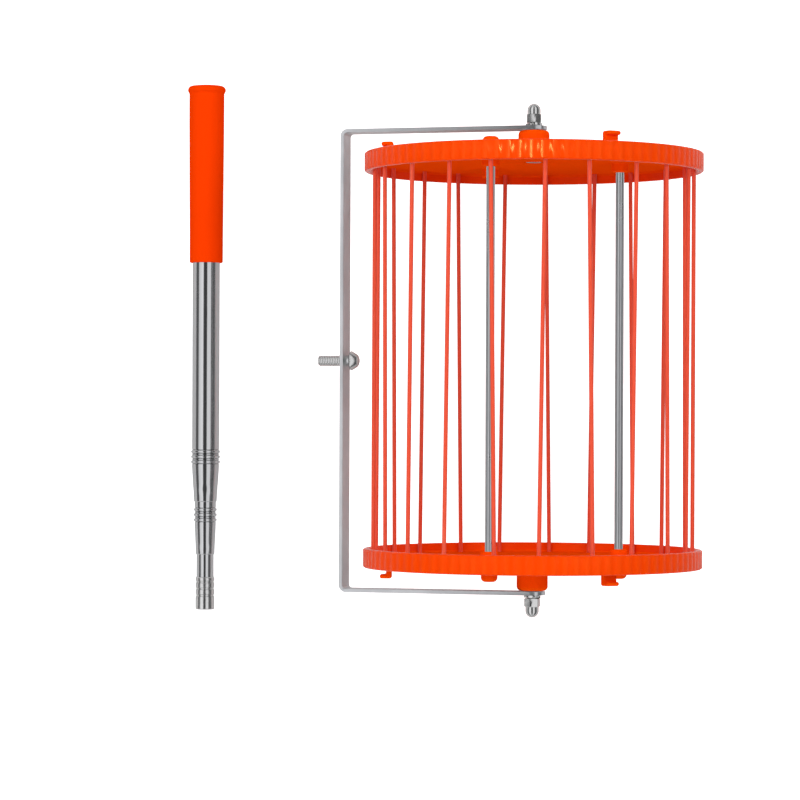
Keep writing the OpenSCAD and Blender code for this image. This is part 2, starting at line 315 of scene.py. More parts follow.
def join(objects):
    bpy.ops.object.select_all(action="DESELECT")
    for o in objects:
        o.select_set(True)
    bpy.context.view_layer.objects.active = objects[0]
    bpy.ops.object.join()
    return objects[0]


# %% [markdown]
# Holes and welded-on details are cut and joined with the Boolean modifier, and thin edges are eased with
# the Bevel modifier. Both are applied at once, so what is left is plain mesh.

# %% Modifiers
def apply_modifier(obj, kind, **settings):
    bpy.ops.object.select_all(action="DESELECT")
    obj.select_set(True)
    bpy.context.view_layer.objects.active = obj
    modifier = obj.modifiers.new(kind.lower(), kind)
    for key, value in settings.items():
        setattr(modifier, key, value)
    bpy.ops.object.modifier_apply(modifier=modifier.name)
    return obj


def combine(obj, other, operation):
    apply_modifier(obj, "BOOLEAN", object=other, operation=operation, solver="EXACT")
    bpy.data.objects.remove(other)
    return obj


def ease(obj, width, segments=2, angle=35):
    return apply_modifier(
        obj, "BEVEL", width=width * MM, segments=segments, limit_method="ANGLE",
        angle_limit=math.radians(angle), harden_normals=False)


def smooth(obj, angle=35):
    bpy.ops.object.select_all(action="DESELECT")
    obj.select_set(True)
    bpy.context.view_layer.objects.active = obj
    bpy.ops.object.shade_smooth_by_angle(angle=math.radians(angle))
    return obj


def block(name, low, high):
    """A box between two corners in mm, as a start for a shape."""
    low, high = Vector(low) * MM, Vector(high) * MM
    bpy.ops.object.select_all(action="DESELECT")
    bpy.ops.mesh.primitive_cube_add(size=1, location=(low + high) / 2)
    obj = bpy.context.object
    obj.name = name
    obj.scale = high - low
    bpy.ops.object.transform_apply(location=True, rotation=True, scale=True)
    return obj


# %% [markdown]
# ## Materials
# Each finish is one Principled shader fed by procedural nodes on Object coordinates, which stick to the
# piece as it moves. Three effects turn up in several finishes, so each is a node group, built once: fine
# grain in a surface, wear where edges stand out, and faint smudges that vary the gloss.

# %% Node helpers
def add(tree, kind, values=None, **settings):
    made = tree.nodes.new(kind)
    for key, value in settings.items():
        setattr(made, key, value)
    for key, value in (values or {}).items():
        made.inputs[key].default_value = value
    return made


def wire(tree, source, target):
    tree.links.new(source, target)


def new_group(name, inputs, outputs):
    group = bpy.data.node_groups.new(name, "ShaderNodeTree")
    for label, kind, value in inputs:
        socket = group.interface.new_socket(name=label, in_out="INPUT", socket_type=kind)
        socket.default_value = value
    for label, kind in outputs:
        group.interface.new_socket(name=label, in_out="OUTPUT", socket_type=kind)
    return group, group.nodes.new("NodeGroupInput"), group.nodes.new("NodeGroupOutput")


def use_group(tree, group, values):
    made = tree.nodes.new("ShaderNodeGroup")
    made.node_tree = group
    for key, value in values.items():
        made.inputs[key].default_value = value
    return made


# %% Grain in a surface
grain, grain_in, grain_out = new_group(
    "surface_grain",
    [("Scale", "NodeSocketFloat", 900.0), ("Along", "NodeSocketFloat", 1.0)],
    [("Height", "NodeSocketFloat")])
grain_place = add(grain, "ShaderNodeTexCoord")
grain_axis = add(grain, "ShaderNodeCombineXYZ", {"X": 1.0, "Z": 1.0})
grain_stretch = add(grain, "ShaderNodeVectorMath", operation="MULTIPLY")
grain_fine = add(grain, "ShaderNodeTexNoise", {"Detail": 3.0, "Roughness": 0.6})
wire(grain, grain_in.outputs["Along"], grain_axis.inputs["Y"])
wire(grain, grain_place.outputs["Object"], grain_stretch.inputs[0])
wire(grain, grain_axis.outputs["Vector"], grain_stretch.inputs[1])
wire(grain, grain_stretch.outputs["Vector"], grain_fine.inputs["Vector"])
wire(grain, grain_in.outputs["Scale"], grain_fine.inputs["Scale"])
wire(grain, grain_fine.outputs["Fac"], grain_out.inputs["Height"])

# %% Wear on edges
wear, wear_in, wear_out = new_group(
    "edge_wear",
    [("Amount", "NodeSocketFloat", 0.5), ("Start", "NodeSocketFloat", 0.52)],
    [("Mask", "NodeSocketFloat")])
wear_form = add(wear, "ShaderNodeNewGeometry")
wear_place = add(wear, "ShaderNodeTexCoord")
wear_patch = add(wear, "ShaderNodeTexNoise", {"Scale": 140.0, "Detail": 4.0})
wear_edge = add(wear, "ShaderNodeMapRange", {"From Max": 0.62}, interpolation_type="SMOOTHSTEP")
wear_break = add(wear, "ShaderNodeMath", operation="MULTIPLY")
wear_level = add(wear, "ShaderNodeMath", operation="MULTIPLY", use_clamp=True)
wire(wear, wear_form.outputs["Pointiness"], wear_edge.inputs["Value"])
wire(wear, wear_in.outputs["Start"], wear_edge.inputs["From Min"])
wire(wear, wear_place.outputs["Object"], wear_patch.inputs["Vector"])
wire(wear, wear_edge.outputs["Result"], wear_break.inputs[0])
wire(wear, wear_patch.outputs["Fac"], wear_break.inputs[1])
wire(wear, wear_break.outputs["Value"], wear_level.inputs[0])
wire(wear, wear_in.outputs["Amount"], wear_level.inputs[1])
wire(wear, wear_level.outputs["Value"], wear_out.inputs["Mask"])

# %% Smudges in the gloss
smudge, smudge_in, smudge_out = new_group(
    "gloss_smudges",
    [("Low", "NodeSocketFloat", 0.3), ("High", "NodeSocketFloat", 0.45), ("Scale", "NodeSocketFloat", 30.0)],
    [("Roughness", "NodeSocketFloat")])
smudge_place = add(smudge, "ShaderNodeTexCoord")
smudge_patch = add(smudge, "ShaderNodeTexNoise", {"Detail": 5.0, "Roughness": 0.65})
smudge_range = add(smudge, "ShaderNodeMapRange", {"From Min": 0.35, "From Max": 0.65})
wire(smudge, smudge_place.outputs["Object"], smudge_patch.inputs["Vector"])
wire(smudge, smudge_in.outputs["Scale"], smudge_patch.inputs["Scale"])
wire(smudge, smudge_patch.outputs["Fac"], smudge_range.inputs["Value"])
wire(smudge, smudge_in.outputs["Low"], smudge_range.inputs["To Min"])
wire(smudge, smudge_in.outputs["High"], smudge_range.inputs["To Max"])
wire(smudge, smudge_range.outputs["Result"], smudge_out.inputs["Roughness"])


# %% [markdown]
# A finish puts these together: a main and a worn colour mixed by the wear mask and by broad mottling, a
# gloss from the smudges and a bump from the grain. The metals and the plastics differ only in values, so
# one function builds them all, and the cord adds its weave to its own afterwards.

# %% Build a finish
WEAR_AMOUNT = 0.5
MOTTLE = 0.35


def finish(name, colour, shade, worn, rough, grain_size, bump, metal=0.0, along=1.0, settings=None):
    material = bpy.data.materials.new(name)
    material.use_nodes = True
    tree = material.node_tree
    shader = tree.nodes["Principled BSDF"]
    shader.inputs["Metallic"].default_value = metal
    for key, value in (settings or {}).items():
        shader.inputs[key].default_value = value
    spot = add(tree, "ShaderNodeTexCoord")
    patch = add(tree, "ShaderNodeTexNoise", {"Scale": 22.0, "Detail": 3.0})
    patch_level = add(tree, "ShaderNodeMath", {1: MOTTLE}, operation="MULTIPLY")
    body = add(tree, "ShaderNodeMix", {"A": (*colour, 1), "B": (*shade, 1)}, data_type="RGBA")
    mask = use_group(tree, wear, {"Amount": WEAR_AMOUNT})
    mixed = add(tree, "ShaderNodeMix", {"B": (*worn, 1)}, data_type="RGBA")
    gloss = use_group(tree, smudge, {"Low": rough[0], "High": rough[1]})
    fine = use_group(tree, grain, {"Scale": grain_size, "Along": along})
    relief = add(tree, "ShaderNodeBump", {"Strength": bump, "Distance": 0.0002})
    wire(tree, spot.outputs["Object"], patch.inputs["Vector"])
    wire(tree, patch.outputs["Fac"], patch_level.inputs[0])
    wire(tree, patch_level.outputs["Value"], body.inputs["Factor"])
    wire(tree, body.outputs["Result"], mixed.inputs["A"])
    wire(tree, mask.outputs["Mask"], mixed.inputs["Factor"])
    wire(tree, mixed.outputs["Result"], shader.inputs["Base Color"])
    wire(tree, gloss.outputs["Roughness"], shader.inputs["Roughness"])
    wire(tree, fine.outputs["Height"], relief.inputs["Height"])
    wire(tree, relief.outputs["Normal"], shader.inputs["Normal"])
    return material


# %% [markdown]
# The wheels are moulded in bright orange polypropylene, paler where an edge is rubbed. The rim is satin
# and the rest matte. The matte part is also painted a lighter, yellower orange than the rim: painted light
# that brightens the shaded inside of the dish. The grip is dipped vinyl, also matte, in a slightly redder
# orange. Zinc plate is a slightly blue grey with a grain along the bar, nickel-plated fasteners are
# brighter, and the pole is polished stainless steel with fine draw marks along its length.

# %% Plastics and metals
wheel_orange = finish(
    "wheel_orange", (0.95, 0.06, 0.001), (0.88, 0.045, 0.001), (1.0, 0.13, 0.01), (0.16, 0.24), 1400, 0.12,
    settings={"Specular IOR Level": 0.1, "Specular Tint": (1.0, 0.7, 0.2, 1)})
# Painted light: this orange is lighter and yellower than the rim's, to brighten the shaded inside of the
# dish. Its lack of gloss is the real matte finish.
wheel_matte_painted_light = finish(
    "wheel_matte_painted_light", (1.0, 0.085, 0.001), (0.92, 0.066, 0.001), (1.0, 0.12, 0.01), (0.6, 0.75), 1400, 0.2,
    settings={"Specular IOR Level": 0.0})
grip_orange = finish(
    "grip_orange", (0.95, 0.05, 0.0005), (0.88, 0.04, 0.0005), (1.0, 0.1, 0.005), (0.45, 0.6), 1700, 0.25,
    settings={"Specular IOR Level": 0.0})
zinc_plate = finish(
    "zinc_plate", (0.6, 0.605, 0.615), (0.5, 0.505, 0.52), (0.8, 0.81, 0.82), (0.28, 0.4), 500, 0.25,
    metal=1.0, along=0.05)
nickel_plate = finish(
    "nickel_plate", (0.7, 0.7, 0.69), (0.6, 0.6, 0.6), (0.85, 0.85, 0.84), (0.12, 0.24), 900, 0.12,
    metal=1.0)
drawn_steel = finish(
    "drawn_steel", (0.56, 0.57, 0.58), (0.46, 0.47, 0.48), (0.75, 0.75, 0.75), (0.25, 0.4), 800, 0.2,
    metal=1.0, along=0.04)
polished_steel = finish(
    "polished_steel", (0.62, 0.625, 0.63), (0.5, 0.505, 0.51), (0.78, 0.78, 0.78), (0.06, 0.13), 900, 0.06,
    metal=1.0, along=0.03)
natural_nylon = finish(
    "natural_nylon", (0.75, 0.75, 0.7), (0.68, 0.68, 0.62), (0.85, 0.85, 0.82), (0.4, 0.5), 1200, 0.1)

# %% [markdown]
# The cord is a rubber core in a fine woven cover. Its weave follows the cord, so this finish reads the
# cord's own UV map, whose first value runs along it and whose second runs round it. Two sets of slanting
# ribs cross, and their product gives the small lozenges of a woven cover.

# %% Woven cord
cord_red = finish(
    "cord_red", (0.86, 0.08, 0.03), (0.76, 0.05, 0.018), (0.95, 0.22, 0.12), (0.4, 0.5), 1500, 0.1,
    settings={"Specular IOR Level": 0.35, "Sheen Weight": 0.08, "Sheen Roughness": 0.4})
weave = cord_red.node_tree
weave_place = add(weave, "ShaderNodeUVMap", uv_map="cord_map")
weave_split = add(weave, "ShaderNodeSeparateXYZ")
wire(weave, weave_place.outputs["UV"], weave_split.inputs["Vector"])
weave_ribs = []
for slant in (1, -1):
    lift = add(weave, "ShaderNodeMath", {1: slant * 6 * FULL_TURN}, operation="MULTIPLY")
    run = add(weave, "ShaderNodeMath", {1: 1400.0 * FULL_TURN / 2}, operation="MULTIPLY")
    total = add(weave, "ShaderNodeMath", operation="ADD")
    wave = add(weave, "ShaderNodeMath", operation="SINE")
    wire(weave, weave_split.outputs["Y"], lift.inputs[0])
    wire(weave, weave_split.outputs["X"], run.inputs[0])
    wire(weave, lift.outputs["Value"], total.inputs[0])
    wire(weave, run.outputs["Value"], total.inputs[1])
    wire(weave, total.outputs["Value"], wave.inputs[0])
    weave_ribs.append(wave)
weave_cross = add(weave, "ShaderNodeMath", operation="MULTIPLY")
wire(weave, weave_ribs[0].outputs["Value"], weave_cross.inputs[0])
wire(weave, weave_ribs[1].outputs["Value"], weave_cross.inputs[1])
weave_relief = add(weave, "ShaderNodeBump", {"Strength": 0.35, "Distance": 0.0002})
wire(weave, weave_cross.outputs["Value"], weave_relief.inputs["Height"])
wire(weave, weave.nodes["Bump"].outputs["Normal"], weave_relief.inputs["Normal"])
wire(weave, weave_relief.outputs["Normal"], weave.nodes["Principled BSDF"].inputs["Normal"])


# %% [markdown]
# Every finished piece gets its material and the body it moves with, and, when it takes a CAD node's
# place, that node is hidden. The slot is read only to keep the orange pieces out of reflections, as the
# tool's metal looks neutral grey even beside them. One function says it all.

# %% Hand a piece over
def hand_over(obj, name, material, body, slot, *nodes):
    obj.name = name
    obj.data.name = name
    if material.name not in obj.data.materials:
        obj.data.materials.clear()
        obj.data.materials.append(material)
    obj.visible_glossy = slot not in ("wheel_plastic", "elastic_cord", "grip_vinyl")
    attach(obj, body)
    if nodes:
        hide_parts(*nodes)
    print(name, len(obj.data.polygons), "faces on", body)
    return obj


# %% [markdown]
# ## The wheels
# A wheel is one moulding: a thin disc set back in a deep rim, a ring and spokes that stiffen it, a long
# hub whose inner end is a sunk seat for the bolt's head, and sockets for the tie tubes. The whole
# cross-section is drawn once and spun in many small steps, because the rim carries close-set ribs and
# each rib needs a few steps of its own.

# %% Spin the dish and rim
RIBS = 96
STEPS_PER_RIB = 6
RIB_DEPTH = 0.55
CREST_GAP = 0.04
RIM_WIDTH = 13.5
RIM_WALL = 4
DISC = 3
HUB_R = 11
RING_R = 106
SEAT_R = 7.5
BORE_R = 5.05
SEAT_HIGH = 6.15
HUB_OUT = face_z + 16.25
rim_open = face_z - RIM_WIDTH
disc_in = disc_out - DISC
hub_in = disc_in + SEAT_HIGH
ring_top = face_z - 0.6
valley_r = rim_r - RIB_DEPTH
wall_r = rim_r - RIM_WALL

hub_outside = [(BORE_R, HUB_OUT)] + arc(HUB_R - 3, HUB_OUT - 3, 3, 90, 0, 6) + arc(
    HUB_R + 2, disc_out + 2, 2, 180, 270)
ring_profile = arc(RING_R - 2.2, disc_out + 0.9, 0.9, 270, 360, 3) + arc(
    RING_R - 0.6, ring_top - 0.6, 0.6, 180, 90, 3) + arc(RING_R + 0.6, ring_top - 0.6, 0.6, 90, 0, 3) + arc(
    RING_R + 2.2, disc_out + 0.9, 0.9, 180, 270, 3)
recess_wall = arc(wall_r - 0.8, disc_out + 0.8, 0.8, 270, 360, 3) + arc(
    wall_r + 0.6, face_z - 0.6, 0.6, 180, 90, 3)
rim_outside = arc(valley_r - 0.8, face_z - 0.8, 0.8, 90, 0, 3) + arc(
    valley_r - 0.8, rim_open + 0.8, 0.8, 0, -90, 3)
rim_inside = arc(wall_r + 0.7, rim_open + 0.7, 0.7, 270, 180, 3) + arc(
    wall_r - 1.5, disc_in - 1.5, 1.5, 0, 90)
hub_inside = arc(SEAT_R + 0.5, disc_in + 0.5, 0.5, 270, 180, 3) + [(SEAT_R, hub_in), (BORE_R, hub_in)]
outline = hub_outside + ring_profile + recess_wall + rim_outside + rim_inside + hub_inside
wheel = lathe("wheel", outline, RIBS * STEPS_PER_RIB)
print("wheel blank", len(wheel.data.polygons), "faces")


# %% [markdown]
# The ribs are pulled out of the rim's outer wall. Of every six columns of vertices, two go out to the full
# radius and the one on each side of them most of the way, by scaling them away from the axis. That
# leaves rounded ribs about half a pitch wide, whose ends slope back into the rim.

# %% Pull out the ribs
def rib_column(vertex_place):
    turn = math.atan2(vertex_place.y, vertex_place.x) / FULL_TURN * RIBS * STEPS_PER_RIB
    return round(turn) % STEPS_PER_RIB


def raise_ribs(columns, height):
    count = pick(wheel, "VERT", lambda p, v: radius(p) > valley_r - 0.01 and rib_column(p) in columns)
    grow = (valley_r + height - CREST_GAP) / valley_r
    bpy.ops.transform.resize(value=(grow, grow, 1), center_override=(0, 0, 0))
    leave()
    return count


raise_ribs((2, 3), RIB_DEPTH)
print("rib vertices", raise_ribs((1, 4), 0.74 * RIB_DEPTH))


# %% [markdown]
# The moulded details are modelled once each and copied round. A tube socket is a boss inside the dish and
# a domed nub outside. A spoke is a thin wall, slightly thinner at its free edge so that it leaves the
# mould. A hook starts as a block, and its tip is an extrusion of its outer side above a cut.

# %% Sockets and nubs
SOCKET_R = 61
socket = lathe("socket", [(0, rim_open)] + arc(5.2, rim_open + 0.8, 0.8, -90, 0, 3) + arc(
    7.2, disc_in - 1.2, 1.2, 180, 90, 3) + [(7.2, disc_in + 1), (0, disc_in + 1)], 32)
nub = lathe("nub", [(0, disc_out - 1), (7.2, disc_out - 1)] + arc(
    7.25, disc_out + 1.5, 1.5, 270, 180, 3) + arc(
    2.75, face_z + 4.5, 3, 0, 90, 6) + [(0, face_z + 7.5)], 32)
sockets = join([socket, nub])
place(sockets, at(x=SOCKET_R))
sockets = around(sockets, [0, 120, 240])

# %% Spokes
SPOKE_WIDE, SPOKE_THIN = 2.6, 1.9
spoke = block(
    "spoke", (HUB_R - 1, -SPOKE_WIDE / 2, disc_out - 0.5), (RING_R, SPOKE_WIDE / 2, ring_top - 0.1))
pick(spoke, "VERT", lambda p, v: p.z > ring_top - 0.5)
bpy.ops.transform.resize(value=(1, SPOKE_THIN / SPOKE_WIDE, 1), center_override=(0, 0, 0))
leave()
pick(spoke, "FACE", lambda p, f: p.z > ring_top - 0.5)
bpy.ops.mesh.bevel(offset=0.4 * MM, segments=2, affect="EDGES")
leave()
spokes = around(spoke, [30 + 60 * k for k in range(6)])

# %% Cord hooks
HOOK_R = 99.5
HOOK_WIDTH = 11
HOOK_HEIGHT = 8
hook_top = face_z + HOOK_HEIGHT
hook = block("hook", (HOOK_R, -HOOK_WIDTH / 2, disc_out - 1), (HOOK_R + 4, HOOK_WIDTH / 2, hook_top))
edit(hook)
bpy.ops.mesh.select_all(action="SELECT")
bpy.ops.mesh.bisect(plane_co=(0, 0, (hook_top - 3) * MM), plane_no=(0, 0, 1))
leave()
pick(hook, "FACE", lambda p, f: f.normal.x > 0.9 and p.z > hook_top - 3)
bpy.ops.mesh.extrude_region_move(TRANSFORM_OT_translate={"value": (4.5 * MM, 0, 0)})
bpy.ops.transform.resize(value=(1, 0.86, 0.95), center_override=(0, 0, (hook_top - 1.2) * MM))
leave()
ease(hook, 1.4, 4, 40)
hooks = around(hook, [60, 180, 300])

# %% [markdown]
# The details are welded to the dish with a union, and the holes are then cut with one more Boolean: a
# blind hole in each tube socket and the ring of cord holes. Each cord hole's cutter is waisted, so it
# leaves a rounded mouth on both sides, and the cord doesn't chafe. Last, the faces inside the rim are
# given the matte finish, whose lighter orange is painted light for the shaded dish. The small lamp is
# linked to the left wheel, so it puts gleams on that one's ribs.

# %% Cord holes
CORD_RUNS = 21
CORD_R = 1.5
CORD_RING_R = 113
CORD_LEAN = 0.9
CORD_TURN = 2


def lean_sign(k):
    return 1 if (k - 8) % CORD_RUNS % 2 == 0 else -1


def hole_angle(k, side):
    """Angle of a cord hole on one wheel, in degrees. side is 1 on the right wheel and -1 on the left."""
    return k * 360 / CORD_RUNS + CORD_TURN + side * lean_sign(k) * CORD_LEAN


def cord_cutter():
    mouth, waist = 3.1, 2.25
    inner = arc(mouth, disc_in + 0.85, mouth - waist, 270, 180, 4)
    outer = arc(mouth, disc_out - 0.85, mouth - waist, 180, 90, 4)
    return lathe("cord_cutter", [(0, disc_in - 1), (mouth, disc_in - 1)] + inner + outer + [
        (mouth, disc_out + 1), (0, disc_out + 1)], 20)


tube_cutter = lathe("tube_cutter", [(0, rim_open - 1), (3.05, rim_open - 1), (3.05, rim_open + 16), (
    0, rim_open + 16)], 32)
place(tube_cutter, at(x=SOCKET_R))
tube_cutters = around(tube_cutter, [0, 120, 240])


# %% Weld and cut both wheels
def make_wheel(side, name, node):
    body = copy_of(wheel, at())
    combine(body, join([copy_of(sockets, at()), copy_of(spokes, at()), copy_of(hooks, at())]), "UNION")
    cutter = cord_cutter()
    place(cutter, at(x=CORD_RING_R))
    cutters = around(cutter, [hole_angle(k, side) for k in range(CORD_RUNS)])
    combine(body, join([cutters, copy_of(tube_cutters, at())]), "DIFFERENCE")
    body.data.materials.append(wheel_orange)
    body.data.materials.append(wheel_matte_painted_light)
    # The faces inside the rim get the matte finish. Its lighter orange is painted light for the shaded dish.
    matte_painted_light_faces = pick(body, "FACE", lambda p, f: radius(p) < wall_r - 0.05)
    body.active_material_index = 1
    bpy.ops.object.material_slot_assign()
    leave()
    print(name, matte_painted_light_faces, "faces with the matte mould finish")
    turn = Matrix.Rotation(drum_turn, 4, "Z")
    mirror = Matrix.Scale(side, 4, (0, 0, 1))
    place(body, lay_down @ turn @ mirror)
    smooth(body, 38)
    return hand_over(body, name, wheel_orange, "drum", "wheel_plastic", node)


left_wheel = make_wheel(-1, "ribbed_left_wheel", "left_wheel")
make_wheel(1, "ribbed_right_wheel", "right_wheel")
gleaming = bpy.data.collections.new("gleaming")
gleaming.objects.link(left_wheel)
rib_box.light_linking.receiver_collection = gleaming
for used in (wheel, sockets, spokes, hooks, tube_cutters):
    bpy.data.objects.remove(used)

# %% [markdown]
# ## The cord
# One cord is laced through both wheels: down through a hole, across the drum, out through the other
# wheel, over to the next hole and back. A curve follows that route with a small round bend at every
# hole, and its bevel gives it thickness. It is then made a mesh, ring by ring, so that a UV map can say
# how far along the cord and how far round it each face lies.

# %% Route of the lacing
BEND = 1.7
LOOP_LIFT = 1.55


def hole(k, side, lift):
    angle = math.radians(hole_angle(k, side)) + drum_turn
    return Vector((CORD_RING_R * math.cos(angle), CORD_RING_R * math.sin(angle), side * (disc_out + lift)))


def bend(corner, arriving, leaving):
    centre = corner - arriving * BEND + leaving * BEND
    steps = [math.radians(90 * i / 5) for i in range(6)]
    return [centre + BEND * (arriving * math.sin(a) - leaving * math.cos(a)) for a in steps]


def straight(start, end, count):
    return [start.lerp(end, i / count) for i in range(1, count)]


route = []
for j in range(CORD_RUNS):
    k = (j + 8) % CORD_RUNS
    side = -1 if j % 2 == 0 else 1
    start = hole(k, side, LOOP_LIFT)
    end = hole(k, -side, LOOP_LIFT)
    along = (end - start).normalized()
    if j == 0:
        route.append(start)
    else:
        before = hole((k - 1) % CORD_RUNS, side, LOOP_LIFT)
        route += bend(start, (start - before).normalized(), along)
    far_from_bend = along * BEND
    route += straight(start + far_from_bend, end - far_from_bend, 10)
    if j == CORD_RUNS - 1:
        route.append(end)
    else:
        after = hole((k + 1) % CORD_RUNS, -side, LOOP_LIFT)
        route += bend(end, along, (after - end).normalized())
        route += straight(end, after, 8)[1:-1]
print("lacing points", len(route))


# %% [markdown]
# Each end of the cord is stopped by an overhand knot, whose centreline is a trefoil: a curve that goes
# round twice while it weaves up and down three times. The knots are pulled tight and flat in the recess
# of the wheel, so they're squeezed along the axis, and a short cut end sticks out of each.

# %% Cord into mesh
CORD_SIDES = 12


def cord_mesh(name, points, closed=False):
    curve = bpy.data.curves.new(name, "CURVE")
    curve.dimensions = "3D"
    curve.bevel_depth = CORD_R * MM
    curve.bevel_resolution = CORD_SIDES // 4
    curve.use_fill_caps = not closed
    spline = curve.splines.new("POLY")
    spline.points.add(len(points) - 1)
    for knot_point, p in zip(spline.points, points):
        knot_point.co = (*(p * MM), 1)
    spline.use_cyclic_u = closed
    obj = bpy.data.objects.new(name, curve)
    bpy.context.scene.collection.objects.link(obj)
    bpy.ops.object.select_all(action="DESELECT")
    obj.select_set(True)
    bpy.context.view_layer.objects.active = obj
    bpy.ops.object.convert(target="MESH")
    obj = bpy.context.object
    for unwanted in list(obj.data.uv_layers):
        obj.data.uv_layers.remove(unwanted)
    map_cord(obj, points, closed)
    return obj


def map_cord(obj, points, closed):
    around_count = len(obj.data.vertices) // len(points)
    lengths = [0.0]
    for a, b in zip(points, points[1:] + points[:1]):
        lengths.append(lengths[-1] + (b - a).length * MM)
    layer = obj.data.uv_layers.new(name="cord_map")
    ring_total = len(points)
    for face in obj.data.polygons:
        rings = [obj.data.loops[i].vertex_index // around_count for i in face.loop_indices]
        spots = [obj.data.loops[i].vertex_index % around_count for i in face.loop_indices]
        for i, ring, spot in zip(face.loop_indices, rings, spots):
            if closed and ring == 0 and max(rings) == ring_total - 1:
                ring = ring_total
            if spot == 0 and max(spots) == around_count - 1 and len(rings) == 4:
                spot = around_count
            layer.data[i].uv = (lengths[min(ring, len(lengths) - 1)], spot / around_count)


def trefoil():
    points = []
    for i in range(60):
        t = FULL_TURN * i / 60
        flat = Vector((math.sin(t) + 2 * math.sin(2 * t), math.cos(t) - 2 * math.cos(2 * t), 0))
        points.append(flat * 0.72 + Vector((0, 0, -1.3 * math.sin(3 * t))))
    return points


def knot(name, k, side):
    loop = cord_mesh(name, trefoil(), closed=True)
    end = cord_mesh(name + "_tail", [Vector((1.2 + 0.9 * i, 0.2 * i, 0.1 * i)) for i in range(5)])
    tied = join([loop, end])
    squeeze = Matrix.Diagonal((0.82, 0.82, 0.6, 1))
    turn = Matrix.Rotation(math.radians(hole_angle(k, side)) + drum_turn, 4, "Z")
    seat = Matrix.Translation(Vector((111.6, 0, side * (disc_out + 1.85))) * MM)
    return place(tied, turn @ seat @ Matrix.Rotation(2.3, 4, "Z") @ squeeze)


lacing = join([
    cord_mesh("lacing", route),
    knot("first_knot", 8, -1),
    knot("last_knot", 7, 1)])
edit(lacing)
bpy.ops.mesh.select_all(action="SELECT")
bpy.ops.mesh.remove_doubles(threshold=0.001 * MM)
bpy.ops.mesh.normals_make_consistent(inside=False)
leave()
place(lacing, lay_down)
smooth(lacing, 60)
hand_over(lacing, "laced_cord", cord_red, "drum", "elastic_cord", "cord_strands", "cord_loops", "cord_knots")

# %% [markdown]
# ## The bracket
# A length of flat bar bent twice. One edge across the bar, drawn at the middle of its thickness, is
# pushed along the first arm, spun round the first bend, pushed down the upright, spun again and pushed
# back along the second arm. The Solidify modifier gives that strip its thickness. The arms' round ends
# are welded on, the holes are cut, and a fine bevel eases every edge, which is what catches the light.

# %% Bend the bar
BAR_WIDTH = 18.5
BAR = 2.5
BAR_REACH = 140
arm_in = HUB_OUT + 0.5
arm_out = arm_in + BAR
arm_mid = arm_in + BAR / 2
mid_r = 2.5 + BAR / 2
bend_x = BAR_REACH - BAR / 2 - mid_r
bend_z = arm_mid - mid_r

bpy.ops.object.select_all(action="DESELECT")
bpy.ops.mesh.primitive_plane_add(size=MM)
bar = bpy.context.object
bpy.ops.object.mode_set(mode="EDIT")
bpy.ops.mesh.select_all(action="SELECT")
bpy.ops.mesh.merge(type="CENTER")
bpy.ops.transform.translate(value=Vector((0, -BAR_WIDTH / 2, arm_mid)) * MM)
bpy.ops.mesh.extrude_vertices_move(TRANSFORM_OT_translate={"value": (0, BAR_WIDTH * MM, 0)})
bpy.ops.mesh.select_all(action="SELECT")
bpy.ops.mesh.extrude_edges_move(TRANSFORM_OT_translate={"value": (bend_x * MM, 0, 0)})
bpy.ops.mesh.spin(steps=8, angle=math.pi / 2, center=(bend_x * MM, 0, bend_z * MM), axis=(0, -1, 0))
bpy.ops.mesh.extrude_edges_move(TRANSFORM_OT_translate={"value": (0, 0, -2 * bend_z * MM)})
bpy.ops.mesh.spin(steps=8, angle=math.pi / 2, center=(bend_x * MM, 0, -bend_z * MM), axis=(0, -1, 0))
bpy.ops.mesh.extrude_edges_move(TRANSFORM_OT_translate={"value": (-bend_x * MM, 0, 0)})
bpy.ops.mesh.select_all(action="SELECT")
bpy.ops.mesh.remove_doubles(threshold=0.001 * MM)
bpy.ops.mesh.normals_make_consistent(inside=False)
leave()
apply_modifier(bar, "SOLIDIFY", thickness=BAR * MM, offset=0, use_even_offset=True)
print("bent bar", [round(v / MM, 1) for v in bar.dimensions])


# %% Round ends and holes
def drill(obj, r, low, high, matrix=Matrix.Identity(4)):
    cutter = lathe("drill", [(0, low), (r, low), (r, high), (0, high)], 48)
    place(cutter, matrix)
    return combine(obj, cutter, "DIFFERENCE")


for way in (-1, 1):
    end = lathe("bar_end", [(0, arm_in), (BAR_WIDTH / 2, arm_in), (BAR_WIDTH / 2, arm_out), (
        0, arm_out)], 64)
    place(end, Matrix.Scale(way, 4, (0, 0, 1)))
    combine(bar, end, "UNION")
drill(bar, 3.05, -arm_out - 5, arm_out + 5)
sideways = Matrix.Rotation(math.pi / 2, 4, "Y")
drill(bar, 4.05, BAR_REACH - 10, BAR_REACH + 10, sideways)
ease(bar, 0.35, 2, 50)
place(bar, lay_down @ Matrix.Rotation(bracket_turn, 4, "Z"))
smooth(bar, 30)
hand_over(bar, "bent_bracket", zinc_plate, "bracket", "zinc_bar", "bracket_bar")

# %% [markdown]
# ## Fasteners
# A hexagon gets its curved corners by cutting it with a turned shape: where the cone of the chamfer
# meets the six flats, it leaves the familiar arcs. The cap nut adds a domed cap, and the axle bolt's
# head is the same hexagon without it.

# %% Hexagons and cap nuts
HEX_FLATS = 10


